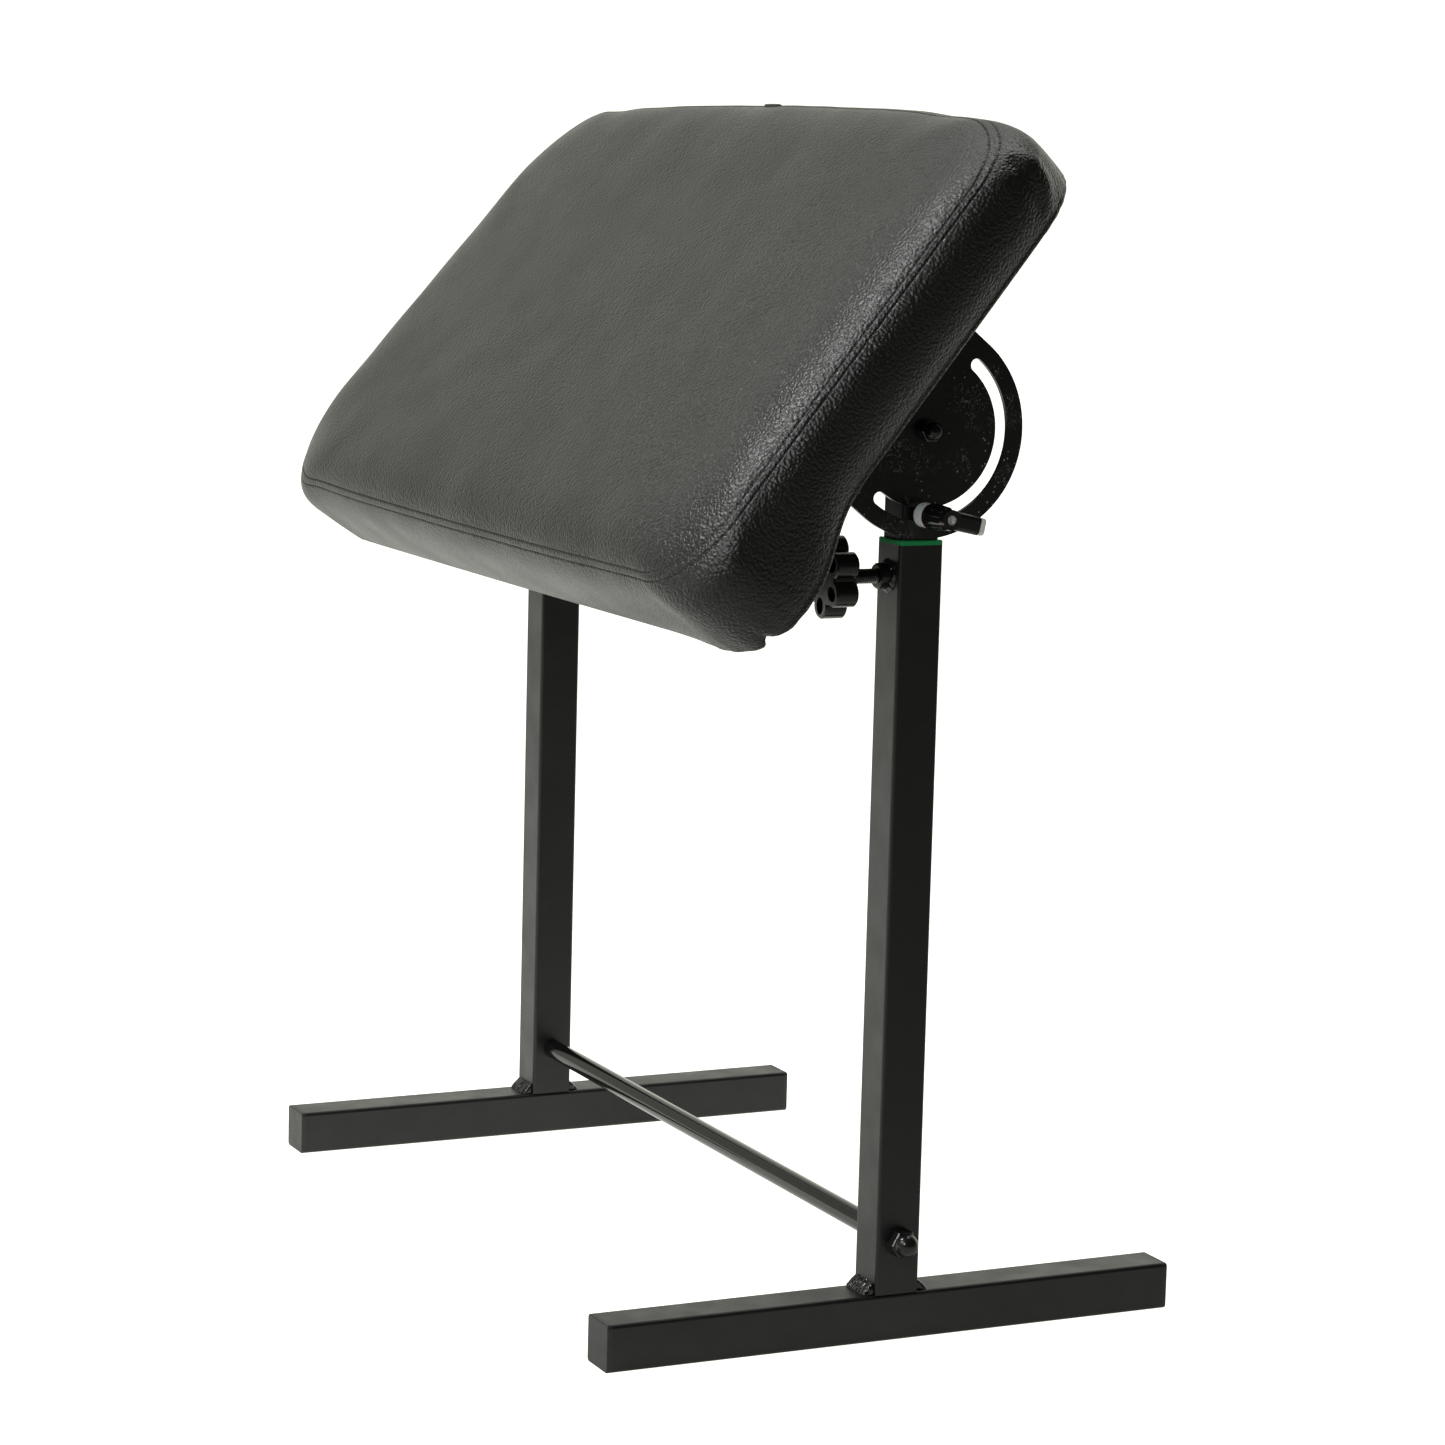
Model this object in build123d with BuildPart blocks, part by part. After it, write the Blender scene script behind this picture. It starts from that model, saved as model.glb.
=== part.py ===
from build123d import *
from math import cos, radians, sin
import os

# Tilting arm and leg rest on a two-post stand, in millimetres.
# X runs along the tilt axis, Y along the foot bars and Z up, with the origin on the floor midway between the
# posts. The star knobs and the cushion's low edge are on the -Y side.

# Stand
tube = 32.0  # side of the square tube of the feet and outer posts
tube_wall = 1.5
tube_corner = 2.6
post_spacing = 593.0  # between the two posts' centre lines
post_top = 533.0
foot_length = 421.0  # over the end plugs
plug_head = 3.5
plug_depth = 18.0
plug_fit = 0.05
plug_wall = 2.5
plug_edge = 0.8
bore_corner = 0.6  # inside corners of plugs and caps
weld_leg = 8.0
weld_length = 27.0
weld_throat = 4.6
weld_end = 2.0

# Cross bar and its tie rod
bar_height = 68.0
bar_diameter = 15.0
bar_wall = 1.5
m10 = 9.9  # outside diameter of an M10 thread
m10_hole = 10.4
m10_flats = 17.0
m10_hex_height = 8.0
m10_dome = 8.0
washer_thickness = 1.5
m10_washer = 20.0
thread_chamfer = 0.8
nut_chamfer = 0.7
nut_neck = 1.0  # between the hexagon and the dome's centre

# Telescoping mast
inner_tube = 27.0
inner_wall = 1.5
inner_corner = 2.0
inner_bottom = 86.0
sleeve_rim = 3.3
sleeve_depth = 60.0
sleeve_slip = 0.05  # clearance on each side of the inner tube
sleeve_edge = 1.0
cap_rim = 2.0
cap_depth = 14.0

# Height clamp
knob_height = 512.0
boss_radius = 8.5
boss_length = 9.0
boss_weld = 3.2
boss_chamfer = 1.0
knob_gap = 33.0  # from the post's face to the back of the knob
knob_thickness = 16.0
knob_lobes = 6
lobe_circle = 18.2
lobe_radius = 8.8
knob_core = 19.4
knob_hub_radius = 9.0
knob_hub_length = 7.0
pocket_depth = 10.0
pocket_half_length = 5.6
pocket_half_width = 4.6
pocket_offset = 0.4  # outward from the lobe's centre
knob_edge = 1.0
knob_hub_taper = 4.0
stud_grip = 12.0  # length of stud held in the knob
running_gap = 0.05

# Tilt plates
tilt = 51.5  # slope of the cushion at rest, degrees
plate_radius = 70.5
plate_thickness = 3.0
plate_clearance = 0.9  # over the guide sleeve's rim
slot_radius = 54.6
slot_width = 8.6
slot_half_angle = 88.7
flange_width = 40.0
flange_inner_bend = 2.0
m8 = 8.0
m8_hole = 8.1
m8_flats = 13.0
m8_head = 5.3
bolt_chamfer = 0.6
m8_dome = 6.0
m8_hex_height = 6.0
m8_washer = 16.0
pivot_spacer = 0.85
face_gap = 0.15  # between flat faces that slide on each other

# Clamp lever
spacer_radius = 8.1
spacer_length = 8.0
lever_neck_radius = 6.4
lever_ring_radius = 8.8
lever_ring = 3.0
lever_neck = 4.0
lever_hub_length = 23.0
lever_tip_radius = 6.6
lever_bore = 8.1
lever_slope = 12.0  # arm below the level, degrees
lever_reach = 21.5
lever_width = 9.0
lever_height = 12.0
lever_cap = 4.2
lever_ring_step = 0.8
lever_arm_corner = 3.0
lever_arm_margin = 1.0  # from the arm to the hub's end
cap_inset = 0.3
cap_edge = 1.0
bolt_cover = 9.0  # lever hub beyond the bolt's end
bolt_end_gap = 0.5
lever_screw_radius = 3.5
lever_screw_head = 2.6
lever_screw_pocket = 3.0
lever_screw_play = 0.1
lever_screw_edge = 0.5
hex_key_radius = 2.0
hex_key_depth = 1.6

# Cushion
pad_length = 744.0
pad_width = 404.0
pad_corner = 62.0
pad_bottom = 34.0  # from the tilt axis to the cover's underside
pad_thickness = 76.0
pad_top_edge = 18.0
pad_bottom_edge = 10.0
cover_thickness = 1.2
cover_hem = 40.0
hem_thickness = 1.0
board_thickness = 12.0
board_inset = 24.0  # from the cushion's widest outline
board_corner = 50.0
dust_cover_inset = 30.0
dust_cover_thickness = 0.6
screw_row = 26.0  # from the plate's outer face
screw_places = (-54.0, -22.0, 22.0, 54.0)
screw_head_radius = 4.6
screw_head = 2.4
screw_radius = 2.0
screw_length = 10.0
screw_play = 0.3

# Places that follow from the sizes
post_x = post_spacing / 2
half_tube = tube / 2
half_inner = inner_tube / 2
pivot_height = post_top + sleeve_rim + plate_clearance + plate_radius
clamp_height = pivot_height - slot_radius
inner_top = pivot_height + 16.0
plate_inner_x = post_x + half_inner + pivot_spacer + face_gap
plate_outer_x = plate_inner_x + plate_thickness
flange_top = pad_bottom - dust_cover_thickness
lever_x = plate_outer_x + face_gap + spacer_length + face_gap
axis_up = (0, -sin(radians(tilt)), cos(radians(tilt)))
pad_plane = Plane(origin=(0, 0, pivot_height), x_dir=(1, 0, 0), z_dir=axis_up)
os.makedirs("parts", exist_ok=True)


def save(part, label):
    """Write one sub-part as its own STEP file."""
    part.label = label
    export_step(part, f"parts/{label}.step")


def save_pair(part, label):
    """Write the right-hand sub-part and its mirror image on the left."""
    save(part, f"{label}_right")
    with BuildPart() as left:
        mirror(objects=part, about=Plane.YZ)
    save(left.part, f"{label}_left")


def save_both(part, label):
    """Write the right-hand and left-hand fasteners as one group of separate solids."""
    with BuildPart() as group:
        add(part)
        mirror(objects=part, about=Plane.YZ)
    save(group.part, label)


def x_plane(x, z, y=0.0):
    """A plane at x that faces +X, with its own x along Y and its own y along Z."""
    return Plane(origin=(x, y, z), x_dir=(0, 1, 0), z_dir=(1, 0, 0))


def front_plane(y, z, x=0.0):
    """A plane at y that faces -Y, with its own x along X and its own y along Z."""
    return Plane(origin=(x, y, z), x_dir=(1, 0, 0), z_dir=(0, -1, 0))


def square_tube(plane, side, wall, corner, length):
    with BuildPart() as piece:
        with BuildSketch(plane):
            RectangleRounded(side, side, corner)
            RectangleRounded(side - 2 * wall, side - 2 * wall, corner - wall, mode=Mode.SUBTRACT)
        extrude(amount=length)
    return piece.part


# Foot bars with their end plugs
foot_tube_end = foot_length / 2 - plug_head
foot_plane = front_plane(foot_tube_end, half_tube, post_x)
save_pair(square_tube(foot_plane, tube, tube_wall, tube_corner, 2 * foot_tube_end), "foot_bar")

with BuildPart() as plugs:
    with BuildSketch(foot_plane):
        RectangleRounded(tube, tube, tube_corner)
    extrude(amount=-plug_head)
    fillet(plugs.faces().sort_by(Axis.Y)[-1].edges(), plug_edge)
    with BuildSketch(foot_plane):
        bore_side = tube - 2 * tube_wall - 2 * plug_fit
        RectangleRounded(bore_side, bore_side, tube_corner - tube_wall)
        hollow_side = bore_side - 2 * plug_wall
        RectangleRounded(hollow_side, hollow_side, bore_corner, mode=Mode.SUBTRACT)
    extrude(amount=plug_depth)
    mirror(about=Plane.XZ)
save_both(plugs.part, "foot_end_plugs")

# Outer posts, drilled for the tie rod and the height clamp, and their welds
with BuildPart() as outer_post:
    add(square_tube(Plane((post_x, 0, tube)), tube, tube_wall, tube_corner, post_top - tube))
    with BuildSketch(x_plane(post_x, bar_height)):
        Circle(m10_hole / 2)
    extrude(amount=tube, both=True, mode=Mode.SUBTRACT)
    with BuildSketch(front_plane(0, knob_height, post_x)):
        Circle(m10_hole / 2)
    extrude(amount=tube, mode=Mode.SUBTRACT)
save_pair(outer_post.part, "outer_post")

with BuildPart() as post_weld:
    with BuildSketch(x_plane(post_x - weld_length / 2, tube)):
        with BuildLine():
            Line((half_tube, weld_leg), (half_tube, 0))
            Line((half_tube, 0), (half_tube + weld_leg, 0))
            throat = (half_tube + weld_throat, weld_throat)
            ThreePointArc((half_tube + weld_leg, 0), throat, (half_tube, weld_leg))
        make_face()
    extrude(amount=weld_length)
    end_edges = post_weld.edges().filter_by(Axis.X, reverse=True).group_by(Axis.X)
    fillet([end_edges[end].sort_by(Edge.length)[-1] for end in (0, -1)], weld_end)
    mirror(about=Plane.XZ)
save_both(post_weld.part, "post_welds")

# Cross bar, tie rod, washers and cap nuts
bar_half = post_x - half_tube
with BuildPart() as cross_bar:
    with BuildSketch(x_plane(-bar_half, bar_height)):
        Circle(bar_diameter / 2)
        Circle(bar_diameter / 2 - bar_wall, mode=Mode.SUBTRACT)
    extrude(amount=2 * bar_half)
save(cross_bar.part, "cross_bar")

nut_x = post_x + half_tube + washer_thickness
rod_half = nut_x + m10_hex_height
with BuildPart() as tie_rod:
    with BuildSketch(x_plane(-rod_half, bar_height)):
        Circle(m10 / 2)
    extrude(amount=2 * rod_half)
    chamfer(tie_rod.edges().filter_by(GeomType.CIRCLE), thread_chamfer)
save(tie_rod.part, "tie_rod")


def washer(x, z, outside, hole, thickness):
    with BuildPart() as piece:
        with BuildSketch(x_plane(x, z)):
            Circle(outside / 2)
            Circle(hole / 2, mode=Mode.SUBTRACT)
        extrude(amount=thickness)
    return piece.part


def cap_nut(x, z, flats, hex_height, dome_radius, thread):
    """Domed nut on an axis along X, with a blind hole for the thread."""
    with BuildPart() as piece:
        with BuildSketch(x_plane(x, z)):
            RegularPolygon(flats / 2, 6, major_radius=False)
        extrude(amount=hex_height)
        chamfer(piece.faces().sort_by(Axis.X)[-1].edges(), nut_chamfer)
        with BuildSketch(x_plane(x, z)):
            Circle(dome_radius)
        extrude(amount=hex_height + nut_neck)
        with Locations((x + hex_height + nut_neck, 0, z)):
            Sphere(dome_radius)
        with BuildSketch(x_plane(x, z)):
            Circle(thread / 2)
        extrude(amount=hex_height, mode=Mode.SUBTRACT)
    return piece.part


washer_x = post_x + half_tube
save_both(washer(washer_x, bar_height, m10_washer, m10_hole, washer_thickness), "bar_washers")
save_both(cap_nut(nut_x, bar_height, m10_flats, m10_hex_height, m10_dome, m10), "bar_cap_nuts")

# Green guide sleeves in the mouths of the outer posts
sleeve_bore = inner_tube + 2 * sleeve_slip
with BuildPart() as sleeve:
    with BuildSketch(Plane((post_x, 0, post_top))):
        RectangleRounded(tube, tube, tube_corner)
    extrude(amount=sleeve_rim)
    fillet(sleeve.faces().sort_by(Axis.Z)[-1].edges(), sleeve_edge)
    with BuildSketch(Plane((post_x, 0, post_top))):
        sleeve_side = tube - 2 * tube_wall - 2 * plug_fit
        RectangleRounded(sleeve_side, sleeve_side, tube_corner - tube_wall)
    extrude(amount=-sleeve_depth)
    with BuildSketch(Plane((post_x, 0, post_top + sleeve_rim))):
        RectangleRounded(sleeve_bore, sleeve_bore, inner_corner + sleeve_slip)
    extrude(amount=-(sleeve_depth + sleeve_rim), mode=Mode.SUBTRACT)
    with BuildSketch(front_plane(0, knob_height, post_x)):
        Circle(m10_hole / 2)
    extrude(amount=tube, mode=Mode.SUBTRACT)
save_pair(sleeve.part, "guide_sleeve")

# Threaded bosses of the height clamp and the weld round each
with BuildPart() as boss:
    with BuildSketch(front_plane(-half_tube, knob_height, post_x)):
        Circle(boss_radius)
    extrude(amount=boss_length)
    chamfer(boss.faces().sort_by(Axis.Y)[0].edges(), boss_chamfer)
    with BuildSketch(front_plane(-half_tube, knob_height, post_x)):
        Circle(m10 / 2 + running_gap)
    extrude(amount=boss_length, mode=Mode.SUBTRACT)
save_both(boss.part, "knob_bosses")

with BuildPart() as boss_bead:
    with BuildSketch(Plane((post_x, -half_tube, knob_height))):
        with BuildLine():
            bead_edge = boss_radius + boss_weld
            Polyline((boss_radius, 0), (bead_edge, 0), (boss_radius, -boss_weld), (boss_radius, 0))
        make_face()
    revolve(axis=Axis((post_x, -half_tube, knob_height), (0, 1, 0)))
save_both(boss_bead.part, "boss_welds")

# Star knobs and their studs
knob_back = -half_tube - knob_gap
with BuildPart() as star_knob:
    with BuildSketch(front_plane(knob_back, knob_height, post_x)):
        Circle(knob_core)
        with PolarLocations(lobe_circle, knob_lobes, start_angle=30):
            Circle(lobe_radius)
    extrude(amount=knob_thickness)
    chamfer(star_knob.faces().sort_by(Axis.Y)[-1].edges(), knob_edge)
    chamfer(star_knob.faces().sort_by(Axis.Y)[0].edges(), knob_edge)
    with BuildSketch(front_plane(knob_back, knob_height, post_x)):
        Circle(knob_hub_radius)
    extrude(amount=-knob_hub_length, taper=knob_hub_taper)
    with BuildSketch(front_plane(knob_back - knob_thickness, knob_height, post_x)):
        with PolarLocations(lobe_circle + pocket_offset, knob_lobes, start_angle=30):
            Ellipse(pocket_half_length, pocket_half_width)
    extrude(amount=-pocket_depth, mode=Mode.SUBTRACT)
    with BuildSketch(front_plane(knob_back + knob_hub_length, knob_height, post_x)):
        Circle(m10 / 2)
    extrude(amount=knob_hub_length + stud_grip, mode=Mode.SUBTRACT)
save_pair(star_knob.part, "star_knob")

stud_tip = -half_inner - face_gap
with BuildPart() as stud:
    with BuildSketch(front_plane(stud_tip, knob_height, post_x)):
        Circle(m10 / 2)
    extrude(amount=abs(knob_back) + stud_grip - abs(stud_tip))
    chamfer(stud.faces().sort_by(Axis.Y)[-1].edges(), thread_chamfer)
save_pair(stud.part, "knob_stud")

# Inner posts with their top caps
with BuildPart() as inner_post:
    inner_plane = Plane((post_x, 0, inner_bottom))
    add(square_tube(inner_plane, inner_tube, inner_wall, inner_corner, inner_top - inner_bottom))
    for hole_height in (pivot_height, clamp_height):
        with BuildSketch(x_plane(post_x, hole_height)):
            Circle(m8_hole / 2)
        extrude(amount=inner_tube, both=True, mode=Mode.SUBTRACT)
save_pair(inner_post.part, "inner_post")

with BuildPart() as post_cap:
    with BuildSketch(Plane((post_x, 0, inner_top))):
        RectangleRounded(inner_tube, inner_tube, inner_corner)
    extrude(amount=cap_rim)
    fillet(post_cap.faces().sort_by(Axis.Z)[-1].edges(), plug_edge)
    with BuildSketch(Plane((post_x, 0, inner_top))):
        cap_side = inner_tube - 2 * inner_wall - 2 * plug_fit
        RectangleRounded(cap_side, cap_side, inner_corner - inner_wall)
        cap_hollow = cap_side - 2 * plug_wall
        RectangleRounded(cap_hollow, cap_hollow, bore_corner, mode=Mode.SUBTRACT)
    extrude(amount=-cap_depth / 2)
save_both(post_cap.part, "inner_post_caps")


# Pivot and clamp bolts, whose heads are on the inner side of the posts
def bolt(z, end_x):
    with BuildPart() as piece:
        with BuildSketch(x_plane(post_x - half_inner, z)):
            RegularPolygon(m8_flats / 2, 6, major_radius=False)
        extrude(amount=-m8_head)
        chamfer(piece.faces().sort_by(Axis.X)[0].edges(), bolt_chamfer)
        with BuildSketch(x_plane(post_x - half_inner, z)):
            Circle(m8 / 2)
        extrude(amount=end_x - post_x + half_inner)
    return piece.part


pivot_washer_x = plate_outer_x + face_gap
pivot_nut_x = pivot_washer_x + washer_thickness
save_both(bolt(pivot_height, pivot_nut_x + m8_hex_height), "pivot_bolts")
save_both(cap_nut(pivot_nut_x, pivot_height, m8_flats, m8_hex_height, m8_dome, m8), "pivot_cap_nuts")
save_both(washer(post_x + half_inner, pivot_height, m8_washer, m8_hole, pivot_spacer), "pivot_spacers")
save_both(washer(pivot_washer_x, pivot_height, m8_washer, m8_hole, washer_thickness), "pivot_washers")

lever_end = lever_x + lever_neck + lever_ring + lever_hub_length
bolt_end = lever_end - bolt_cover
save_both(bolt(clamp_height, bolt_end), "clamp_bolts")
clamp_spacer = washer(plate_outer_x + face_gap, clamp_height, 2 * spacer_radius, m8_hole, spacer_length)
save_both(clamp_spacer, "clamp_spacers")

# Tilt plates: slotted half-discs with straight cheeks up to a flange under the cushion's board
slot_path = CenterArc((0, 0), slot_radius, -90 - slot_half_angle, 2 * slot_half_angle)
cheek_plane = Plane(origin=(plate_inner_x, 0, pivot_height), x_dir=pad_plane.y_dir, z_dir=(1, 0, 0))
with BuildPart() as tilt_plate:
    with BuildSketch(cheek_plane):
        with BuildLine():
            Line((plate_radius, flange_top), (plate_radius, 0))
            ThreePointArc((plate_radius, 0), (0, -plate_radius), (-plate_radius, 0))
            Line((-plate_radius, 0), (-plate_radius, flange_top))
            Line((-plate_radius, flange_top), (plate_radius, flange_top))
        make_face()
    extrude(amount=plate_thickness)
    with BuildSketch(pad_plane.offset(flange_top)):
        with Locations((plate_outer_x - flange_width / 2, 0)):
            Rectangle(flange_width, 2 * plate_radius)
    extrude(amount=-plate_thickness)
    bend_edges = tilt_plate.edges().filter_by(lambda e: abs(e.length - 2 * plate_radius) < 0.01)
    outer_bend = bend_edges.sort_by_distance(pad_plane.from_local_coords((plate_outer_x, 0, flange_top)))[0]
    fillet(outer_bend, flange_inner_bend + plate_thickness)
    inner_corner_point = pad_plane.from_local_coords((plate_inner_x, 0, flange_top - plate_thickness))
    inner_bend = tilt_plate.edges().sort_by_distance(inner_corner_point)[0]
    fillet(inner_bend, flange_inner_bend)
    with BuildSketch(cheek_plane):
        SlotArc(slot_path, slot_width)
        Circle(m8 / 2 + running_gap)
    extrude(amount=plate_thickness, mode=Mode.SUBTRACT)
    with BuildSketch(pad_plane.offset(flange_top)):
        with Locations(*[(plate_outer_x - screw_row, place) for place in screw_places]):
            Circle(screw_radius + screw_play)
    extrude(amount=-plate_thickness, mode=Mode.SUBTRACT)
save_pair(tilt_plate.part, "tilt_plate")

# Clamp levers: ribbed hub with a short arm, a screw in the hub's end and a cap on the arm
with BuildPart() as lever:
    with BuildSketch(Plane((0, 0, clamp_height))):
        ring_x = lever_x + lever_neck
        hub_x = ring_x + lever_ring
        with BuildLine():
            Polyline(
                (lever_x, 0), (lever_x, lever_neck_radius), (ring_x, lever_neck_radius),
                (ring_x, lever_ring_radius), (hub_x, lever_ring_radius),
                (hub_x, lever_ring_radius - lever_ring_step),
                (lever_end, lever_tip_radius), (lever_end, 0), (lever_x, 0),
            )
        make_face()
    revolve(axis=Axis((0, 0, clamp_height), (1, 0, 0)))
    arm_dir = (0, cos(radians(lever_slope)), -sin(radians(lever_slope)))
    arm_x = lever_end - lever_width / 2 - lever_arm_margin
    arm_plane = Plane(origin=(arm_x, 0, clamp_height), x_dir=(1, 0, 0), z_dir=arm_dir)
    with BuildSketch(arm_plane):
        RectangleRounded(lever_width, lever_height, lever_arm_corner)
    extrude(amount=lever_reach)
    with BuildSketch(x_plane(lever_x, clamp_height)):
        Circle(lever_bore / 2)
    extrude(amount=bolt_end - lever_x + bolt_end_gap, mode=Mode.SUBTRACT)
    with BuildSketch(x_plane(lever_end, clamp_height)):
        Circle(lever_screw_radius + lever_screw_play)
    extrude(amount=-lever_screw_pocket, mode=Mode.SUBTRACT)
save_pair(lever.part, "clamp_lever")

with BuildPart() as lever_screw:
    screw_back = lever_end - lever_screw_pocket
    with BuildSketch(x_plane(screw_back, clamp_height)):
        Circle(lever_screw_radius)
    extrude(amount=lever_screw_head)
    chamfer(lever_screw.faces().sort_by(Axis.X)[-1].edges(), lever_screw_edge)
    with BuildSketch(x_plane(screw_back + lever_screw_head, clamp_height)):
        RegularPolygon(hex_key_radius, 6, major_radius=False)
    extrude(amount=-hex_key_depth, mode=Mode.SUBTRACT)
save_pair(lever_screw.part, "lever_screw")

with BuildPart() as lever_tip:
    with BuildSketch(arm_plane.offset(lever_reach)):
        cap_size = (lever_width - 2 * cap_inset, lever_height - 2 * cap_inset)
        RectangleRounded(*cap_size, lever_arm_corner - cap_inset)
    extrude(amount=lever_cap)
    fillet(lever_tip.faces().sort_by(Axis.Y)[-1].edges(), cap_edge)
save_pair(lever_tip.part, "lever_end_cap")

# Cushion: board, foam, cover with its turned-under hem, dust cover and screws
board_bottom = pad_bottom + hem_thickness
pad_top = pad_bottom + pad_thickness


def pad_block(inset, bottom, top, top_edge, bottom_edge, corner=pad_corner):
    """Rounded block between two levels over the tilt axis, inset on every side."""
    with BuildPart() as piece:
        with BuildSketch(pad_plane.offset(bottom)):
            RectangleRounded(pad_length - 2 * inset, pad_width - 2 * inset, corner - inset)
        extrude(amount=top - bottom)
        upward = Axis(origin=(0, 0, 0), direction=axis_up)
        levels = piece.faces().filter_by(upward).sort_by(upward)
        if top_edge:
            fillet(levels[-1].edges(), top_edge)
        if bottom_edge:
            fillet(levels[0].edges(), bottom_edge)
    return piece.part


board_top = board_bottom + board_thickness
foam_top = pad_top - cover_thickness
with BuildPart() as board:
    add(pad_block(board_inset, board_bottom, board_top, 0, 0, board_corner + board_inset))
    with BuildSketch(pad_plane.offset(board_bottom)):
        screw_x = plate_outer_x - screw_row
        with Locations(*[(side * screw_x, place) for side in (-1, 1) for place in screw_places]):
            Circle(screw_radius)
    extrude(amount=screw_length, mode=Mode.SUBTRACT)
save(board.part, "pad_board")

with BuildPart() as foam:
    add(pad_block(cover_thickness, board_bottom, foam_top, pad_top_edge - cover_thickness, pad_bottom_edge))
    add(pad_block(board_inset, board_bottom, board_top, 0, 0, board_corner + board_inset), mode=Mode.SUBTRACT)
save(foam.part, "pad_foam")

with BuildPart() as cover:
    add(pad_block(0, pad_bottom, pad_top, pad_top_edge, pad_bottom_edge))
    inner_top_edge = pad_top_edge - cover_thickness
    add(pad_block(cover_thickness, board_bottom, foam_top, inner_top_edge, pad_bottom_edge), mode=Mode.SUBTRACT)
    with BuildSketch(pad_plane.offset(pad_bottom)):
        RectangleRounded(pad_length - 2 * cover_hem, pad_width - 2 * cover_hem, pad_corner - cover_hem)
    extrude(amount=hem_thickness, mode=Mode.SUBTRACT)
save(cover.part, "pad_cover")

with BuildPart() as dust_cover:
    add(pad_block(dust_cover_inset, pad_bottom - dust_cover_thickness, pad_bottom, 0, 0))
    with BuildSketch(pad_plane.offset(pad_bottom)):
        with Locations(*[(side * screw_x, place) for side in (-1, 1) for place in screw_places]):
            Circle(screw_radius + screw_play)
    extrude(amount=-dust_cover_thickness, mode=Mode.SUBTRACT)
save(dust_cover.part, "dust_cover")

with BuildPart() as plate_screws:
    head_level = flange_top - plate_thickness
    with BuildSketch(pad_plane.offset(head_level)):
        with Locations(*[(side * screw_x, place) for side in (-1, 1) for place in screw_places]):
            Circle(screw_head_radius)
    extrude(amount=-screw_head)
    with BuildSketch(pad_plane.offset(head_level)):
        with Locations(*[(side * screw_x, place) for side in (-1, 1) for place in screw_places]):
            Circle(screw_radius)
    extrude(amount=board_bottom + screw_length - head_level)
save(plate_screws.part, "plate_screws")
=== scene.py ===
import math

import bpy
import numpy as np
from mathutils import Matrix, Vector, kdtree, noise


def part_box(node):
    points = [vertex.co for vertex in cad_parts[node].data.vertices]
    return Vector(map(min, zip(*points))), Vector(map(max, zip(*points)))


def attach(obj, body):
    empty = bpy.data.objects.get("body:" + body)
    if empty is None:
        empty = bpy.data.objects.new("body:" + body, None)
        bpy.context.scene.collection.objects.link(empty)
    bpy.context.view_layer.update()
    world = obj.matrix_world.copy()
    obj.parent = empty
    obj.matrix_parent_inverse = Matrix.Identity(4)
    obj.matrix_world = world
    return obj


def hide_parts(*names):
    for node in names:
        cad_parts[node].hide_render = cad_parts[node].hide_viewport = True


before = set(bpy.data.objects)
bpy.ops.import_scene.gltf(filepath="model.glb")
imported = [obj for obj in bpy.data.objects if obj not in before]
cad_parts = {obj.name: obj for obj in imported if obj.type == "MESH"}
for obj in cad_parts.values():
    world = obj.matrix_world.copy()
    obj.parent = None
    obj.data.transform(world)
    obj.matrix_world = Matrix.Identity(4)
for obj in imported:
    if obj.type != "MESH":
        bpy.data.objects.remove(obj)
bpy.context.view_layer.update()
MM = 0.001

# ---------------------------------------------------------------- the rest's own frames
SLOPE = math.radians(51.5)  # slope of the cushion at rest
UP_SLOPE = Vector((0, math.cos(SLOPE), math.sin(SLOPE)))
OUT = Vector((0, -math.sin(SLOPE), math.cos(SLOPE)))


def middle(node):
    low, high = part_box(node)
    return (low + high) / 2


PIVOT = Vector((0, 0, middle("pivot_bolts").z))


def pad_frame(points):
    """Rows of (x, up the slope, out of the board) as points of the row frame."""
    rows = np.asarray(points, float)
    return np.array(PIVOT) + rows @ np.array([(1, 0, 0), UP_SLOPE, OUT])


def pad_box(node):
    """Lowest and highest (x, up the slope, out) of a CAD node."""
    co = np.array([v.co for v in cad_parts[node].data.vertices])
    local = (co - np.array(PIVOT)) @ np.array([(1, 0, 0), UP_SLOPE, OUT]).T
    return local.min(0), local.max(0)


# ---------------------------------------------------------------- shader nodes
class Nodes:
    """Short ways to add nodes to a tree and to link them."""

    def __init__(self, tree):
        self.tree = tree

    def connect(self, value, socket):
        """Link an output to the socket, or give the socket a constant."""
        if isinstance(value, bpy.types.NodeSocket):
            self.tree.links.new(value, socket)
        else:
            socket.default_value = value

    def node(self, kind, settings=(), **inputs):
        made = self.tree.nodes.new(kind)
        for key, value in dict(settings).items():
            setattr(made, key, value)
        for key, value in inputs.items():
            self.connect(value, made.inputs[key.replace("_", " ")])
        return made

    def range(self, value, low, high, to_low=0.0, to_high=1.0, interpolation="LINEAR"):
        settings = {"interpolation_type": interpolation}
        limits = {"From_Min": low, "From_Max": high, "To_Min": to_low, "To_Max": to_high}
        return self.node("ShaderNodeMapRange", settings, Value=value, **limits).outputs["Result"]

    def maths(self, operation, first, second):
        made = self.node("ShaderNodeMath", {"operation": operation})
        for socket, value in zip(made.inputs, (first, second)):
            self.connect(value, socket)
        return made.outputs["Value"]


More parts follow.
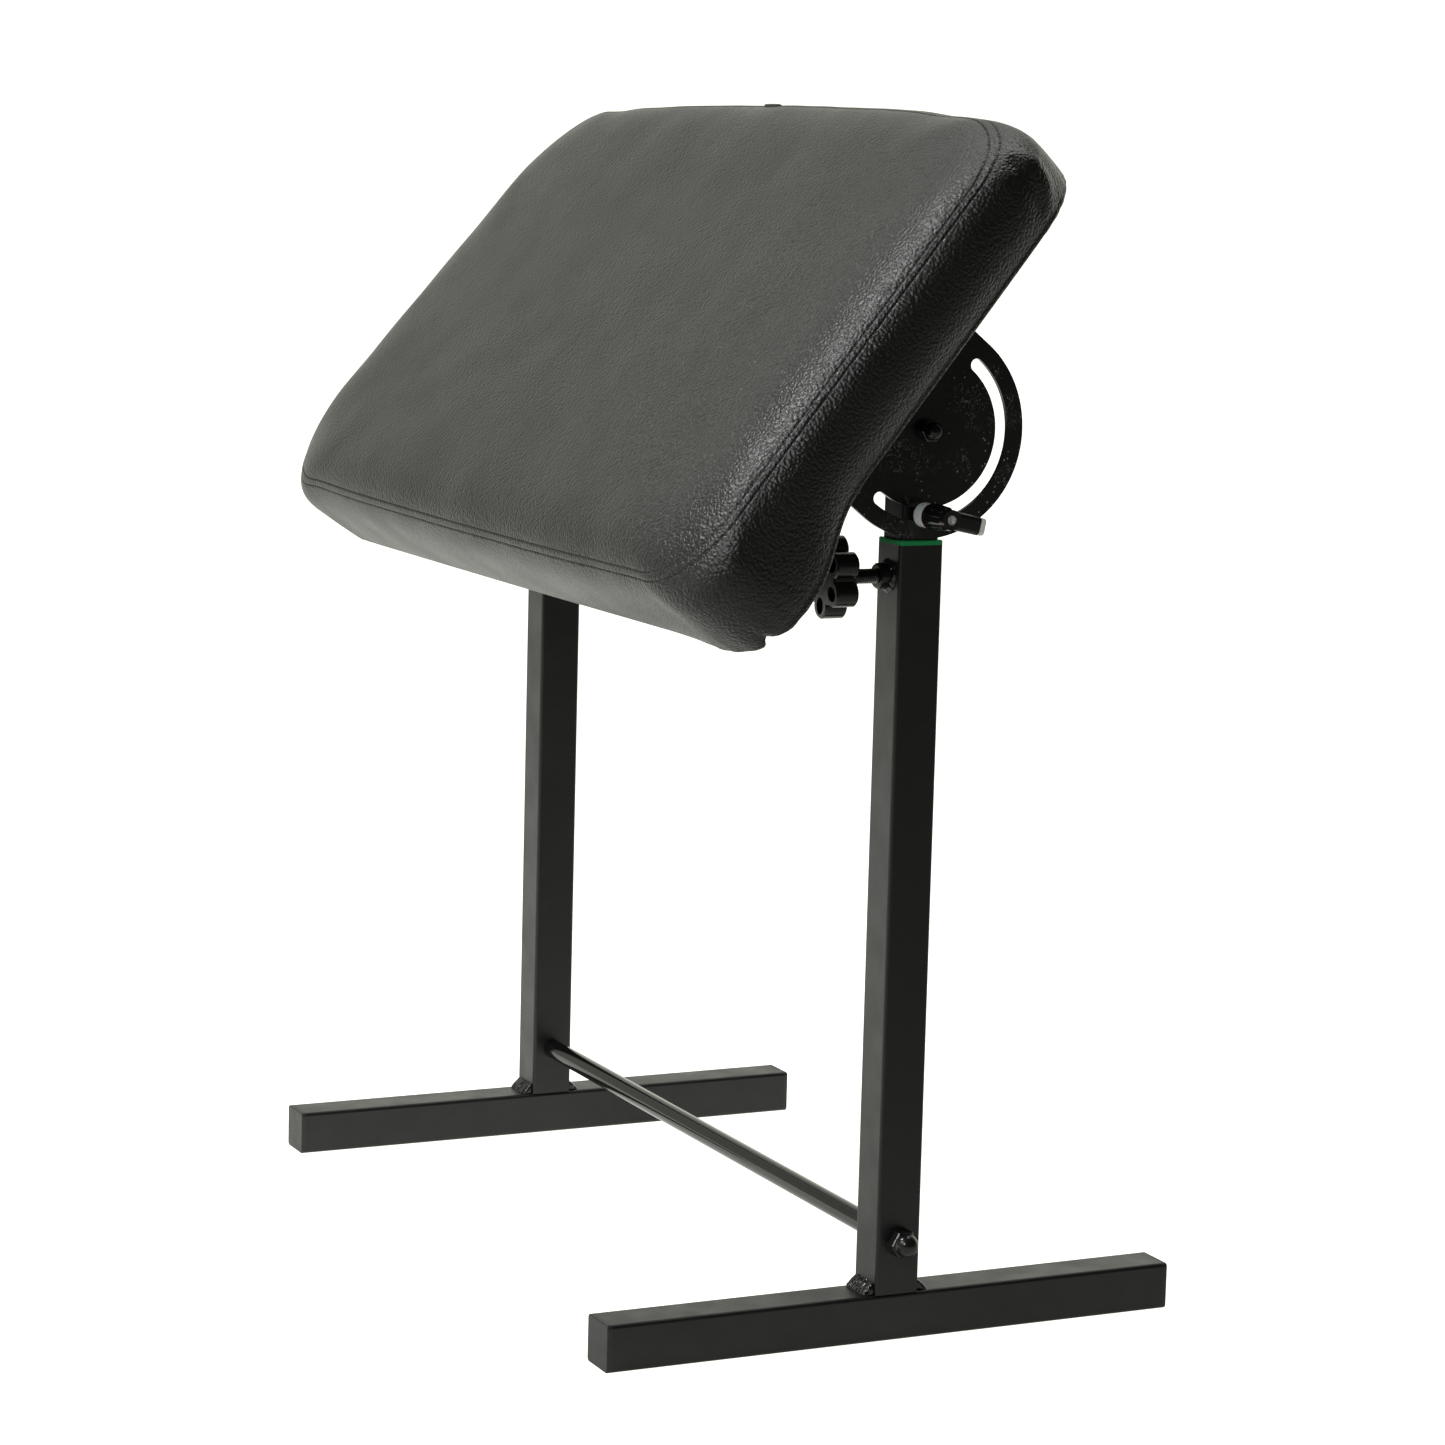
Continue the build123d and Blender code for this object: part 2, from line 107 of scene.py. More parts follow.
# ---------------------------------------------------------------- camera, floor and light
CAMERA_PLACE = (2.5723, -1.2167, 0.7914)  # fitted to the corners seen in the photo
CAMERA_ANGLES = (64.523, 8.383, 1.505)  # azimuth, elevation and roll in degrees
CAMERA_LENS = 98.94  # focal length in mm
SENSOR_WIDTH = 36.0
SKY_COLOUR = (0.98, 1.0, 0.89, 1)
SKY_TO_CAMERA = 1.25  # strength that gives the photo's white background
DARK_SIDE = (0.93, 0.3, 0.1)  # direction of the room's dark part
FLOOR_COLOUR = (0.98, 1, 0.9, 1)
FLOOR_TO_CAMERA = 1.2
FLOOR_SIDE = 30.0  # half its width
FLOOR_DROP = 0.0002  # keeps the floor just under the feet


def make_camera():
    azimuth, elevation, roll = (math.radians(angle) for angle in CAMERA_ANGLES)
    flat = math.cos(elevation)
    ahead = Vector((-math.sin(azimuth) * flat, math.cos(azimuth) * flat, -math.sin(elevation)))
    level = ahead.cross(Vector((0, 0, 1))).normalized()
    upright = level.cross(ahead)
    right = level * math.cos(roll) + upright * math.sin(roll)
    up = right.cross(ahead)
    camera = bpy.data.objects.new("camera", bpy.data.cameras.new("camera"))
    turn = Matrix((right, up, -ahead)).transposed().to_4x4()
    camera.matrix_world = Matrix.Translation(CAMERA_PLACE) @ turn
    camera.data.lens = CAMERA_LENS
    camera.data.sensor_width = SENSOR_WIDTH
    bpy.context.scene.collection.objects.link(camera)
    bpy.context.scene.camera = camera


def softbox(name, place, target, size, watts):
    data = bpy.data.lights.new(name, "AREA")
    data.shape = "RECTANGLE"
    data.size, data.size_y = size
    data.energy = watts
    lamp = bpy.data.objects.new(name, data)
    lamp.location = place
    lamp.rotation_euler = (Vector(target) - Vector(place)).to_track_quat("-Z", "Y").to_euler()
    bpy.context.scene.collection.objects.link(lamp)


def make_studio():
    """A world that is white to the camera and lights the rest like a room.

    The room is bright at the back and left, dimmer at the ceiling and in front, and dark on the right. That
    leaves the right-hand faces dark."""
    world = bpy.data.worlds.new("studio")
    bpy.context.scene.world = world
    world.use_nodes = True
    room = Nodes(world.node_tree)
    direction = room.node("ShaderNodeTexCoord").outputs["Generated"]
    toward = room.node("ShaderNodeVectorMath", {"operation": "DOT_PRODUCT"})
    for socket, value in zip(toward.inputs, (direction, DARK_SIDE)):
        room.connect(value, socket)
    shade = room.range(toward.outputs["Value"], -0.15, 0.5, 1.15, 0.04, "SMOOTHSTEP")
    parts = room.node("ShaderNodeSeparateXYZ", Vector=direction)
    ceiling = room.range(parts.outputs["Z"], 0.2, 0.5, 1.0, 0.5)
    front = room.range(parts.outputs["Y"], 0.15, -0.55, 1.0, 0.35)
    wall = room.maths("MULTIPLY", shade, room.maths("MULTIPLY", ceiling, front))
    camera_ray = room.node("ShaderNodeLightPath").outputs["Is Camera Ray"]
    white = room.maths("MULTIPLY", camera_ray, SKY_TO_CAMERA)
    sky = room.tree.nodes["Background"]
    room.connect(room.maths("MAXIMUM", wall, white), sky.inputs["Strength"])
    room.connect(SKY_COLOUR, sky.inputs["Color"])
    softbox("key_left", place=(0.6, -2.6, 2.2), target=(0, 0, 0.5), size=(1.8, 1.4), watts=30)
    softbox("top", place=(-0.4, 0.2, 2.9), target=(0, 0, 0.4), size=(2.2, 1.6), watts=22)
    softbox("edge_light", place=(-0.6, -1.7, 2.7), target=(0.3, -0.1, 0.7), size=(0.4, 0.9), watts=36)
    softbox("fill", place=(2.3, -2.3, 1.7), target=(0.2, 0, 0.4), size=(0.7, 0.7), watts=22)


def make_floor():
    """White paper to the camera, with a glow that fades to the right for everything else."""
    side = FLOOR_SIDE
    mesh = bpy.data.meshes.new("floor")
    corners = [(-side, -side, 0), (side, -side, 0), (side, side, 0), (-side, side, 0)]
    mesh.from_pydata(corners, [], [(0, 1, 2, 3)])
    floor = bpy.data.objects.new("floor", mesh)
    floor.location.z = -FLOOR_DROP
    bpy.context.scene.collection.objects.link(floor)
    look = Finish("floor_paper", Roughness=0.9, Specular_IOR_Level=0.1)
    look.connect(FLOOR_COLOUR, look.shader.inputs["Emission Color"])
    look.colour(look.noise(3.0), (0.38, 0.38, 0.375), (0.40, 0.40, 0.395))
    camera_ray = look.node("ShaderNodeLightPath").outputs["Is Camera Ray"]
    white = look.maths("MULTIPLY", camera_ray, FLOOR_TO_CAMERA)
    across = look.node("ShaderNodeSeparateXYZ", Vector=look.place).outputs["X"]
    fading = look.range(across, -0.2, 0.75, 0.8, 0.0)
    look.connect(look.maths("MAXIMUM", white, fading), look.shader.inputs["Emission Strength"])
    mesh.materials.append(look.material)


# ---------------------------------------------------------------- finishes
class Finish(Nodes):
    """A Principled material whose textures are laid out in the piece's own coordinates, in metres."""

    def __init__(self, name, **constants):
        self.material = bpy.data.materials.new(name)
        self.material.use_nodes = True
        super().__init__(self.material.node_tree)
        self.shader = self.tree.nodes["Principled BSDF"]
        self.place = self.tree.nodes.new("ShaderNodeTexCoord").outputs["Object"]
        for socket, value in constants.items():
            self.shader.inputs[socket.replace("_", " ")].default_value = value

    def noise(self, scale, detail=3.0, distortion=0.0):
        inputs = {"Vector": self.place, "Scale": scale, "Detail": detail, "Distortion": distortion}
        return self.node("ShaderNodeTexNoise", **inputs).outputs["Fac"]

    def cells(self, scale, feature="F1", randomness=1.0, place=None):
        inputs = {"Vector": place or self.place, "Scale": scale, "Randomness": randomness}
        return self.node("ShaderNodeTexVoronoi", {"feature": feature}, **inputs).outputs["Distance"]

    def colour(self, factor, first, second):
        made = self.node("ShaderNodeMix", {"data_type": "RGBA"})
        self.connect(factor, made.inputs[0])
        rgba = [s for s in made.inputs if s.type == "RGBA"]
        rgba[0].default_value = (*first, 1)
        rgba[1].default_value = (*second, 1)
        output = next(s for s in made.outputs if s.type == "RGBA")
        self.connect(output, self.shader.inputs["Base Color"])
        return self

    def roughness(self, value, low, high):
        self.connect(self.range(value, 0.3, 0.7, low, high), self.shader.inputs["Roughness"])
        return self

    def bump(self, height, distance, strength=1.0):
        made = self.node("ShaderNodeBump", Height=height, Distance=distance, Strength=strength)
        before = self.shader.inputs["Normal"]
        if before.is_linked:
            self.connect(before.links[0].from_socket, made.inputs["Normal"])
        self.connect(made.outputs["Normal"], before)
        return self


def leather(name):
    """Pebble-grained black vinyl: rounded cells about 2 mm across, with fine creases between them."""
    warp_scale, warp_reach, cell_scale, fine_scale = 260.0, 0.0009, 540.0, 1900.0
    look = Finish(name, Specular_IOR_Level=0.5, Sheen_Weight=0.02, Sheen_Roughness=0.4)
    warp = look.node("ShaderNodeTexNoise", Vector=look.place, Scale=warp_scale, Detail=2.0)
    shifted = look.node("ShaderNodeVectorMath", {"operation": "MULTIPLY_ADD"})
    for socket, value in zip(shifted.inputs, (warp.outputs["Color"], (warp_reach,) * 3, look.place)):
        look.connect(value, socket)
    pebbles = look.cells(cell_scale, "SMOOTH_F1", place=shifted.outputs["Vector"])
    domes = look.range(pebbles, 0.1, 0.7, 1.0, 0.0)
    look.colour(look.noise(9.0, 4.0), (0.0070, 0.0071, 0.0066), (0.0105, 0.0106, 0.0096))
    look.roughness(look.noise(24.0, 5.0), 0.33, 0.41)
    look.bump(domes, 0.0008, 0.6)
    look.bump(look.noise(fine_scale, 2.0), 0.00006, 0.5)
    return look.material


def powder_coat(name, gloss=(0.34, 0.44), texture=0.6, tone=0.0075):
    """Black powder coating with a fine orange-peel surface."""
    look = Finish(name, Specular_IOR_Level=0.5)
    look.colour(look.noise(30.0, 4.0), (tone * 0.9,) * 3, (tone * 1.15, tone * 1.15, tone * 1.1))
    look.roughness(look.noise(45.0, 4.0), *gloss)
    look.bump(look.noise(900.0, 3.0), 0.00012, texture)
    look.bump(look.noise(120.0, 2.0), 0.0003, 0.25)
    return look.material


def spotted_paint(name):
    """Glossy black paint over rough metal, with dust pips and fine scratches whose bright colour is painted
    glints.
    """
    look = Finish(name, Specular_IOR_Level=0.5)
    # Small dust pips and thin scratch lines; their bright colour below is a painted glint, their bump is
    # real relief.
    pips = look.range(look.cells(260.0), 0.20, 0.08)
    sparse = look.range(look.noise(75.0, 2.0), 0.52, 0.60)
    glinting_pips = look.maths("MULTIPLY", pips, sparse)
    level_lines = look.maths("ABSOLUTE", look.maths("SUBTRACT", look.noise(95.0, 3.0, 2.5), 0.5), 0)
    threads = look.range(level_lines, 0.012, 0.0)
    glinting_scratches = look.maths("MULTIPLY", threads, look.range(look.noise(28.0, 2.0), 0.55, 0.62))
    specks_and_glints = look.maths("MAXIMUM", glinting_pips, glinting_scratches)
    # The second, bright colour is painted glints on the pips and scratches.
    look.colour(specks_and_glints, (0.006, 0.006, 0.006), (0.34, 0.33, 0.30))
    look.roughness(look.noise(60.0, 4.0), 0.18, 0.32)
    look.bump(look.noise(150.0, 2.0), 0.00035, 0.35)
    look.bump(specks_and_glints, 0.0004, 0.7)
    return look.material


def moulded(name, first, second, gloss=(0.35, 0.45), grain=1500.0, **constants):
    """Injection-moulded plastic with faint mould texture and flow marks."""
    look = Finish(name, **constants)
    look.colour(look.noise(60.0, 4.0), first, second)
    look.roughness(look.noise(90.0, 4.0), *gloss)
    look.bump(look.noise(grain, 2.0), 0.00006, 0.5)
    look.bump(look.noise(150.0, 2.0), 0.0003, 0.15)
    return look.material


def metal(name, first, second, gloss=(0.25, 0.4), metallic=1.0):
    """Bare or plated steel, faintly mottled."""
    look = Finish(name, Metallic=metallic)
    look.colour(look.noise(200.0, 4.0), first, second)
    look.roughness(look.noise(260.0, 4.0), *gloss)
    look.bump(look.noise(1100.0, 3.0), 0.00008, 0.5)
    return look.material


def dust_cloth(name):
    """Thin black non-woven cloth with a pressed dimple pattern."""
    look = Finish(name, Roughness=0.95, Specular_IOR_Level=0.2)
    look.colour(look.noise(700.0, 3.0), (0.018,) * 3, (0.035,) * 3)
    look.bump(look.cells(650.0, randomness=0.15), 0.0003, 0.6)
    return look.material


def plywood(name):
    """Pale wood with drawn-out figure."""
    look = Finish(name, Roughness=0.75)
    look.colour(look.noise(40.0, 6.0, 2.0), (0.42, 0.28, 0.15), (0.58, 0.42, 0.25))
    look.bump(look.noise(500.0, 4.0), 0.0002, 0.5)
    return look.material


def paint_frame():
    """Give every CAD node its finish, chosen by the start of its name."""
    steel = powder_coat("frame_steel")
    mast = powder_coat("mast_steel", (0.26, 0.36), 0.4, 0.007)
    plate = spotted_paint("plate_steel")
    weld = powder_coat("weld_bead", (0.14, 0.24), 0.3, 0.006)
    bar = powder_coat("bar_steel", (0.08, 0.14), 0.15, 0.004)
    black = moulded("black_fastener", (0.006,) * 3, (0.01,) * 3, (0.14, 0.24))
    zinc = metal("zinc_fastener", (0.66, 0.66, 0.64), (0.80, 0.79, 0.76), metallic=0.8)
    plug = moulded("plug_plastic", (0.015,) * 3, (0.022,) * 3, (0.42, 0.52), 900.0)
    green = (0.012, 0.36, 0.10), (0.020, 0.50, 0.15)
    sleeve = moulded("sleeve_plastic", *green, (0.16, 0.24), Transmission_Weight=0.35, IOR=1.49)
    stud = metal("stud_steel", (0.09,) * 3, (0.15,) * 3, (0.2, 0.3))
    knob = moulded("knob_plastic", (0.009,) * 3, (0.013,) * 3, (0.14, 0.22), 700.0)
    lever = moulded("lever_plastic", (0.007,) * 3, (0.011,) * 3, (0.12, 0.2))
    white = (0.86, 0.86, 0.84), (0.92, 0.92, 0.90)
    nylon = moulded("white_plastic", *white, (0.3, 0.4), Subsurface_Weight=0.3, Subsurface_Scale=0.004)
    board = plywood("board_wood")
    finishes = {
        "foot_bar": steel, "outer_post": steel, "foot_end_plugs": plug, "post_welds": weld,
        "boss_welds": weld, "cross_bar": bar, "tie_rod": zinc, "bar_washers": black, "bar_cap_nuts": black,
        "guide_sleeve": sleeve, "knob_bosses": weld, "star_knob": knob, "knob_stud": stud,
        "inner_post_caps": plug, "inner_post": mast, "pivot_spacers": zinc, "pivot": black,
        "clamp_bolts": black, "clamp_spacers": nylon, "tilt_plate": plate, "clamp_lever": lever,
        "lever_screw": zinc, "lever_end_cap": nylon, "pad_board": board, "plate_screws": zinc,
        "dust_cover": dust_cloth("dust_cloth"), "pad": leather("cover_vinyl"),
    }
    for name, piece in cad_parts.items():
        start = max((key for key in finishes if name.startswith(key)), key=len)
        piece.data.materials.clear()
        piece.data.materials.append(finishes[start])
    return finishes


# ---------------------------------------------------------------- mesh helpers
def add_piece(name, points, faces, material):
    """A smooth-shaded object of the given mesh, linked into the scene."""
    mesh = bpy.data.meshes.new(name)
    mesh.from_pydata([tuple(p) for p in points], [], faces)
    mesh.validate()
    mesh.shade_smooth()
    piece = bpy.data.objects.new(name, mesh)
    mesh.materials.append(material)
    bpy.context.scene.collection.objects.link(piece)
    return piece


def ring_faces(rings, around, first=0):
    """Quads between rings of `around` points each, laid out one ring after another."""
    faces = []
    for row in range(rings - 1):
        for i in range(around):
            j = (i + 1) % around
            a = first + row * around
            faces.append((a + i, a + j, a + around + j, a + around + i))
    return faces


def tube_faces(rings, around, first=0):
    """Quads between rings, and one face over each end."""
    last = first + (rings - 1) * around
    ends = [tuple(range(first + around - 1, first - 1, -1)), tuple(range(last, last + around))]
    return ring_faces(rings, around, first) + ends


def even_mesh(piece, voxel):
    """A copy of a piece's mesh, built again from even faces of one voxel's size."""
    remesh = piece.modifiers.new("even_faces", "REMESH")
    remesh.mode = "VOXEL"
    remesh.voxel_size = voxel
    graph = bpy.context.evaluated_depsgraph_get()
    return bpy.data.meshes.new_from_object(piece.evaluated_get(graph))


def closing_faces(start, around, flip=False):
    """Quads across a ring that is symmetric about its first point's axis."""
    faces = [(start, start + 1, start + around - 1)]
    for i in range(1, around // 2 - 1):
        faces.append((start + i, start + i + 1, start + around - i - 1, start + around - i))
    half = around // 2
    faces.append((start + half - 1, start + half, start + half + 1))
    return [tuple(reversed(f)) for f in faces] if flip else faces


# ---------------------------------------------------------------- cushion
ARC_STEPS = 28  # points round each corner of the plan
LONG_STEPS = 208
SHORT_STEPS = 96
AROUND = 4 * ARC_STEPS + 2 * LONG_STEPS + 2 * SHORT_STEPS


def plan_ring(half_x, half_u, radius):
    """A rounded rectangle from the middle of its +x side, with a fixed number of points on each stretch."""
    corner_x, corner_u = half_x - radius, half_u - radius
    points = [(half_x, corner_u * i * 2 / SHORT_STEPS) for i in range(SHORT_STEPS // 2)]
    for turn, (sx, su) in enumerate(((1, 1), (-1, 1), (-1, -1), (1, -1))):
        for i in range(ARC_STEPS):
            angle = math.pi / 2 * (turn + i / ARC_STEPS)
            out_x, out_u = radius * math.cos(angle), radius * math.sin(angle)
            points.append((sx * corner_x + out_x, su * corner_u + out_u))
        ends = (
            ((corner_x, half_u), (-corner_x, half_u), LONG_STEPS),
            ((-half_x, corner_u), (-half_x, -corner_u), SHORT_STEPS),
            ((-corner_x, -half_u), (corner_x, -half_u), LONG_STEPS),
            ((half_x, -corner_u), (half_x, 0), SHORT_STEPS // 2),
        )[turn]
        (x0, u0), (x1, u1), steps = ends
        points += [(x0 + (x1 - x0) * i / steps, u0 + (u1 - u0) * i / steps) for i in range(steps)]
    return np.array(points)


def smooth_step(value, low, high):
    """From 0 at the low end to 1 at the high end, level at both."""
    t = np.clip((value - low) / (high - low), 0, 1)
    return t * t * (3 - 2 * t)


class Cushion:
    """The upholstered pad: a crowned top, a seam, bulging sides and a hem under the board.

    Every ring has a level: 0 at the board, WIDEST_LEVEL at the widest ring, 1 at the seam and 2 on top."""

    WIDEST_LEVEL = 0.6
    WIDEST = 72 * MM  # height of the widest ring above the tilt axis
    ROLL = 52 * MM  # how far in from the widest ring the edge's roll reaches
    POWER = 2.6  # squareness of the roll
    SEAM_HEIGHT = 95.5 * MM
    SEAM_GAP = 5.2 * MM  # between the two rows of stitches
    CROWN = 4.0 * MM
    BOW_LOW = 3.5 * MM  # how far the edges swell between the corners
    BOW_HIGH = 11 * MM
    BOW_SIDE = 2.5 * MM
    HIGH_EDGE = -2.5 * MM  # from the board's outline to the middle of the high edge
    DROOP = 1.5 * MM  # how far the seam's corners lie under its edges
    TUCK_LONG = 2.0 * MM  # how far the sides pull in at the board
    TUCK_SHORT = 11 * MM
    EDGE = 4 * MM  # rounding at the board's edge
    HEM = 40 * MM  # width of the cover's hem under the board
    HEM_THICK = 1.3 * MM  # how far the middle of the underside lies above the hem
    CORNER_BOARD = 52 * MM  # plan radius of the corners at the board, the widest ring and the seam
    CORNER_WIDEST = 44 * MM
    CORNER_SEAM = 64 * MM
    CORNER_TOP = 80 * MM
    CORNER_FALL = 0.45  # how fast the corners tighten over the top, beyond the roll
    CORNER_LEAST = 30 * MM  # tighter corners would fold over
    THICK_CORNER = 15 * MM  # extra foam at the low left corner
    STRETCH = 12 * MM  # how far that corner stands out
    CUT = 7 * MM  # how far the high right corner is drawn in
    POUCH = 18 * MM  # surplus cover gathered under the low right corner
    POUCH_MIDDLE = 352 * MM, -158 * MM
    POUCH_REACH = 42 * MM, 58 * MM
    POUCH_START = (343 * MM, 355 * MM), (173 * MM, 185 * MM)  # it begins outside the dust cloth, in x and u

    def __init__(self):
        low, high = pad_box("pad_cover")
        self.half_x = (high[0] - low[0]) / 2 - self.BOW_SIDE
        self.half_u = (high[1] - low[1]) / 2 - self.BOW_LOW / 2
        self.bottom = low[2]
        self.top = high[2] - self.CROWN

    def ring(self, level, inset, height):
        """One ring of the cover as rows of (x, up the slope, out)."""
        corners = self.CORNER_BOARD, self.CORNER_WIDEST, self.CORNER_SEAM, self.CORNER_TOP
        radius = np.interp(level, (0, self.WIDEST_LEVEL, 1, 2), corners)
        radius = max(radius - max(inset - self.ROLL, 0) * self.CORNER_FALL, self.CORNER_LEAST)
        radius = min(radius, self.half_u - inset)
        plan = plan_ring(self.half_x - inset, self.half_u - inset, radius)
        x, u = plan[:, 0], plan[:, 1]
        across, along = np.clip(u / self.half_u, -1, 1), np.clip(x / self.half_x, -1, 1)
        swell = 0.25 + 0.75 * min(level, 1)
        tuck_out = (1 - min(level / self.WIDEST_LEVEL, 1)) ** 2
        low_edge = -self.BOW_LOW * (1 - along**2) * swell
        high_edge = self.HIGH_EDGE - self.BOW_HIGH * along**2 * (0.6 + 0.4 * swell)
        u = u + across**2 * np.where(across > 0, high_edge, low_edge)
        high_right = ((1 + along) / 2) ** 8 * ((1 + across) / 2) ** 8
        x, u = x - 0.5 * self.CUT * high_right, u - self.CUT * high_right
        x = x + swell * (1 - across**2) * self.BOW_SIDE * np.sign(along) * along**4
        u = u - np.sign(across) * across**6 * self.TUCK_LONG * tuck_out
        x = x - np.sign(along) * along**12 * self.TUCK_SHORT * tuck_out
        corner = smooth_step(abs(x), self.half_x - 130 * MM, self.half_x - 15 * MM)
        corner = corner * smooth_step(abs(u), self.half_u - 120 * MM, self.half_u - 15 * MM)
        n = height - self.DROOP * corner * min(level, 1) ** 2
        if level > self.WIDEST_LEVEL:
            crown = np.clip((1 - along**2) * (1 - across**2), 0, 1) ** 0.8
            n = n + self.CROWN * crown * float(smooth_step(inset, 0, 60 * MM))
        share = np.clip((n - self.bottom) / (self.top - self.bottom), 0, 1)
        low_left = ((1 - along) / 2) ** 1.4 * ((1 - across) / 2) ** 1.3
        n = n + self.THICK_CORNER * low_left * share**1.5
        x = x - self.STRETCH * low_left * share
        pouch = self.pouch(x, u, n)
        n = n - self.POUCH * pouch
        x = x + 0.35 * self.POUCH * pouch
        return np.column_stack((x, u, n))

    def pouch(self, x, u, n):
        """How far the surplus cover hangs at each point, from 0 to 1."""
        (middle_x, middle_u), (reach_x, reach_u) = self.POUCH_MIDDLE, self.POUCH_REACH
        pouch = np.exp(-(((x - middle_x) / reach_x) ** 2) - (abs(u - middle_u) / reach_u) ** 3)
        pouch = pouch * (1 - smooth_step(n, self.bottom, self.WIDEST + 8 * MM))
        beyond = [smooth_step(abs(place), *limits) for place, limits in zip((x, u), self.POUCH_START)]
        return pouch * np.maximum(*beyond)

    def roll_at(self, angle):
        """Level, inset and height on the rounded edge: the widest ring at 0, the top at a quarter turn."""
        rise = self.top - self.WIDEST
        seam = self.seam_angle()
        inset = self.ROLL * (1 - math.cos(angle) ** (2 / self.POWER))
        if angle < seam:
            level = self.WIDEST_LEVEL + (1 - self.WIDEST_LEVEL) * angle / seam
        else:
            level = 1 + inset / self.ROLL * 0.5
        return level, inset, self.WIDEST + rise * math.sin(angle) ** (2 / self.POWER)

    def seam_angle(self):
        """Where on the rounded edge the seam's middle line runs."""
        rise = (self.SEAM_HEIGHT - self.WIDEST) / (self.top - self.WIDEST)
        return math.asin(rise ** (self.POWER / 2))

    def roll_angles(self):
        """Coarse steps over the rounded edge, and fine ones beside the seam."""
        seam = self.seam_angle()
        near = np.linspace(seam - 0.26, seam + 0.26, 40)
        below = np.linspace(0.08, seam - 0.29, 6)
        above = np.linspace(seam + 0.29, math.pi / 2, 14)
        return [*below, *near, *above]

    def profile(self):
        """All rings from the middle of the underside up the side and over to the middle of the top."""
        rings = []
        inside = self.bottom + self.HEM_THICK
        for inset in (197, 160, 110, 70, 45):
            rings.append((0, inset * MM, inside))
        rings.append((0, self.HEM + 0.6 * MM, inside))
        for inset in np.linspace(self.HEM, self.EDGE, 14):
            rings.append((0, inset, self.bottom))
        for angle in np.linspace(0, math.pi / 2, 7)[1:]:
            inset = self.EDGE * (1 - math.sin(angle))
            rings.append((0, inset, self.bottom + self.EDGE * (1 - math.cos(angle))))
        edge = self.bottom + self.EDGE
        for share in np.linspace(0, 1, 20)[1:]:
            rings.append((self.WIDEST_LEVEL * share, 0, edge + (self.WIDEST - edge) * share))
        for angle in self.roll_angles():
            rings.append(self.roll_at(angle))
        for inset in np.linspace(self.ROLL, self.half_u - self.CORNER_LEAST, 23)[1:]:
            level = min(1.5 + (inset - self.ROLL) / (60 * MM), 2)
            rings.append((level, inset, self.top))
        return rings

    def rows(self):
        """The points of every ring, one ring after another, as (x, up the slope, out)."""
        return np.concatenate([self.ring(*ring) for ring in self.profile()])

    def faces(self):
        rings = len(self.profile())
        faces = closing_faces(0, AROUND, flip=True)
        faces += ring_faces(rings, AROUND)
        faces += closing_faces((rings - 1) * AROUND, AROUND)
        return faces


def evaluated(piece):
    """The points and edges of a piece after its modifiers."""
    graph = bpy.context.evaluated_depsgraph_get()
    mesh = piece.evaluated_get(graph).to_mesh()
    points = np.empty(len(mesh.vertices) * 3)
    mesh.vertices.foreach_get("co", points)
    edges = np.array([e.vertices[:] for e in mesh.edges])
    return points.reshape(-1, 3), edges


def blur(field, edges, times):
    """Average a field of vectors over the edges of its mesh."""
    count = np.bincount(edges.ravel(), minlength=len(field)).astype(float)[:, None] + 1
    for _ in range(times):
        total = field.copy()
        for a, b in ((0, 1), (1, 0)):
            np.add.at(total, edges[:, a], field[edges[:, b]])
        field = total / count
    return field


def inflate(points, faces, finish, pinned_below):
    """Fill a copy of the cover with pressure, held to the board, and return the small swells it takes.

    The overall swelling is left out, because the rings already have the filled cushion's outline."""
    voxel, frames, pressure = 6 * MM, 20, 4.0
    fine_blur, wide_blur = 6, 50  # rounds of blurring that bound the size of the kept swells
    detail, most = 0.16, 6 * MM  # share of the movement that is kept, and its limit
    near, reach = 18, 7 * MM  # simulated points that move each point of the cover
    slack = add_piece("slack_cover", points, faces, finish)
    even = even_mesh(slack, voxel)
    bag = bpy.data.objects.new("pressure_bag", even)
    bpy.context.scene.collection.objects.link(bag)
    rest = np.array([v.co for v in even.vertices])
    out = (rest - np.array(PIVOT)) @ np.array(OUT)
    held = bag.vertex_groups.new(name="held")
    held.add([int(i) for i in np.flatnonzero(out < pinned_below)], 1.0, "REPLACE")
    cloth = bag.modifiers.new("cloth", "CLOTH")
    settings = cloth.settings
    settings.quality = 5
    settings.mass = 0.25
    settings.tension_stiffness = settings.compression_stiffness = 15
    settings.shear_stiffness = 5
    settings.bending_stiffness = 0.5
    settings.use_pressure = True
    settings.uniform_pressure_force = pressure
    settings.vertex_group_mass = "held"
    settings.effector_weights.gravity = 0
    cloth.point_cache.frame_end = frames
    for frame_number in range(1, frames + 1):
        bpy.context.scene.frame_set(frame_number)
    moved, edges = evaluated(bag)
    push = blur(moved - rest, edges, fine_blur)
    push = detail * (push - blur(push, edges, wide_blur))
    length = np.linalg.norm(push, axis=1)
    push *= np.minimum(1, most / np.maximum(length, 1e-9))[:, None]
    bpy.context.scene.frame_set(1)
    for piece in (slack, bag):
        bpy.data.objects.remove(piece)
    tree = kdtree.KDTree(len(rest))
    for i, co in enumerate(rest):
        tree.insert(co, i)
    tree.balance()
    result = np.zeros_like(points)
    for i, co in enumerate(points):
        found = tree.find_n(co, near)
        weights = np.array([math.exp(-((distance / reach) ** 2)) for _, _, distance in found]) + 1e-9
        result[i] = weights @ push[[index for _, index, _ in found]] / weights.sum()
    return result


def normals_of(points, faces):
    """Unit vertex normals of a mesh."""
    mesh = bpy.data.meshes.new("for_normals")
    mesh.from_pydata([tuple(p) for p in points], [], faces)
    normals = np.empty(len(points) * 3)
    mesh.vertex_normals.foreach_get("vector", normals)
    bpy.data.meshes.remove(mesh)
    return normals.reshape(-1, 3)


